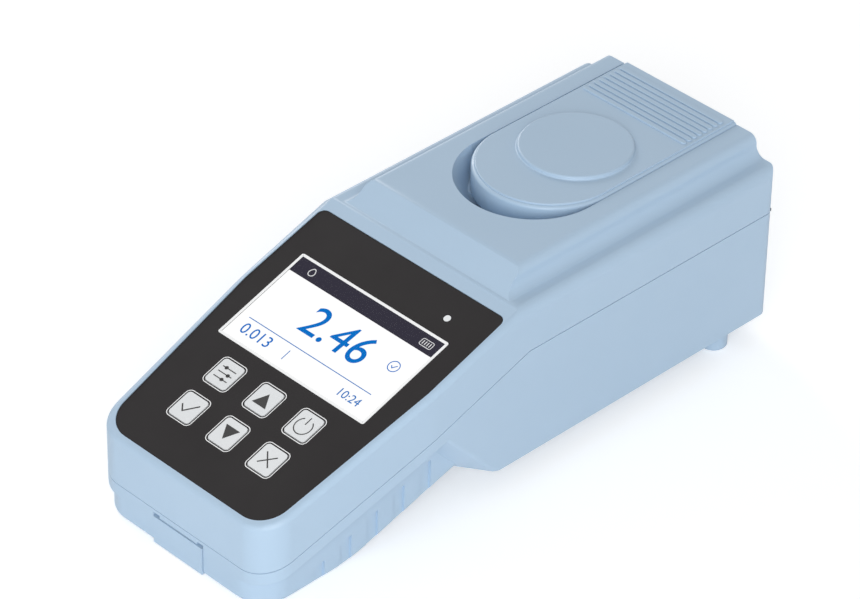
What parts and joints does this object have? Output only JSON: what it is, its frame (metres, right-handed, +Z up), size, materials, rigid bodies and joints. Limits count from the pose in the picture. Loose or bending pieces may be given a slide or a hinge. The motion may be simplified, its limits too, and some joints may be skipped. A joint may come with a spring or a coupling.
{
  "type": "turbidity meter",
  "caption": "Portable turbidity meter in light blue plastic with a colour display, pale keys, a hinged lid over the sample vial well and a battery cover under its handle",
  "frame": {"origin": "On the table below the middle of the meter's overall box", "axes": "+Z up, the handle looks towards -Y, +X to the right of someone who holds the handle"},
  "size_m": [0.0904, 0.228, 0.0777],
  "materials": {
    "case_blue": "fine even moulded grain, light blue",
    "seal_rubber": "soft black foam rubber",
    "sheet_dark": "printed film, satin dark grey",
    "window_clear": "clear hard-coated window",
    "display_black": "liquid crystal module",
    "light_white": "milky light pipe",
    "key_pale": "smooth pale key caps",
    "switch_black": "black glass-filled plastic",
    "board_green": "solder mask",
    "screw_steel": "zinc-plated steel",
    "contact_nickel": "nickel-plated spring steel",
    "cell_sleeve": "shrink sleeve of a dry cell",
    "optic_clear": "dark tinted epoxy",
    "cable_grey": "flat ribbon cable"
  },
  "bodies": {
    "case": {"battery_cells": "cell_sleeve", "battery_contacts": "contact_nickel", "battery_tray": "switch_black", "board_components": "switch_black", "board_screws": "screw_steel", "chamber_screws": "screw_steel", "display_module": "display_black", "display_window": "window_clear", "front_overlay": "sheet_dark", "hinge_pins": "screw_steel", "housing_screws": "screw_steel", "housing_seal": "seal_rubber", "key_switches": "switch_black", "light_source": "optic_clear", "lower_housing": "case_blue", "main_board": "board_green", "optics_cable": "cable_grey", "rear_foot_left": "case_blue", "rear_foot_right": "case_blue", "scatter_board": "board_green", "scatter_detector": "optic_clear", "source_board": "board_green", "status_light": "light_white", "transmission_board": "board_green", "transmission_detector": "optic_clear", "upper_housing": "case_blue", "vial_chamber": "switch_black", "well_seal": "seal_rubber"},
    "lid": {"lid": "case_blue", "lid_shield": "switch_black"},
    "battery_cover": {"battery_cover": "case_blue"},
    "set_key": {"set_key": "key_pale"},
    "up_key": {"up_key": "key_pale"},
    "power_key": {"power_key": "key_pale"},
    "enter_key": {"enter_key": "key_pale"},
    "down_key": {"down_key": "key_pale"},
    "escape_key": {"escape_key": "key_pale"}
  },
  "joints": [
    {"name": "lid_hinge", "type": "hinge", "parent": "case", "child": "lid", "pos_m": [0, 0.1105, 0.0692], "axis": [-1, 0, 0], "range_deg": [0, 100]},
    {"name": "battery_cover_hinge", "type": "hinge", "parent": "case", "child": "battery_cover", "pos_m": [0, -0.0642, 0.0036], "axis": [1, 0, 0], "range_deg": [0, 45]},
    {"name": "set_key_slide", "type": "slide", "parent": "case", "child": "set_key", "axis": [0, 0.3173, -0.9483], "range_m": [0, 0.0004], "stiffness_N_per_m": 1000},
    {"name": "up_key_slide", "type": "slide", "parent": "case", "child": "up_key", "axis": [0, 0.3173, -0.9483], "range_m": [0, 0.0004], "stiffness_N_per_m": 1000},
    {"name": "power_key_slide", "type": "slide", "parent": "case", "child": "power_key", "axis": [0, 0.3173, -0.9483], "range_m": [0, 0.0004], "stiffness_N_per_m": 1000},
    {"name": "enter_key_slide", "type": "slide", "parent": "case", "child": "enter_key", "axis": [0, 0.3173, -0.9483], "range_m": [0, 0.0004], "stiffness_N_per_m": 1000},
    {"name": "down_key_slide", "type": "slide", "parent": "case", "child": "down_key", "axis": [0, 0.3173, -0.9483], "range_m": [0, 0.0004], "stiffness_N_per_m": 1000},
    {"name": "escape_key_slide", "type": "slide", "parent": "case", "child": "escape_key", "axis": [0, 0.3173, -0.9483], "range_m": [0, 0.0004], "stiffness_N_per_m": 1000}
  ]
}
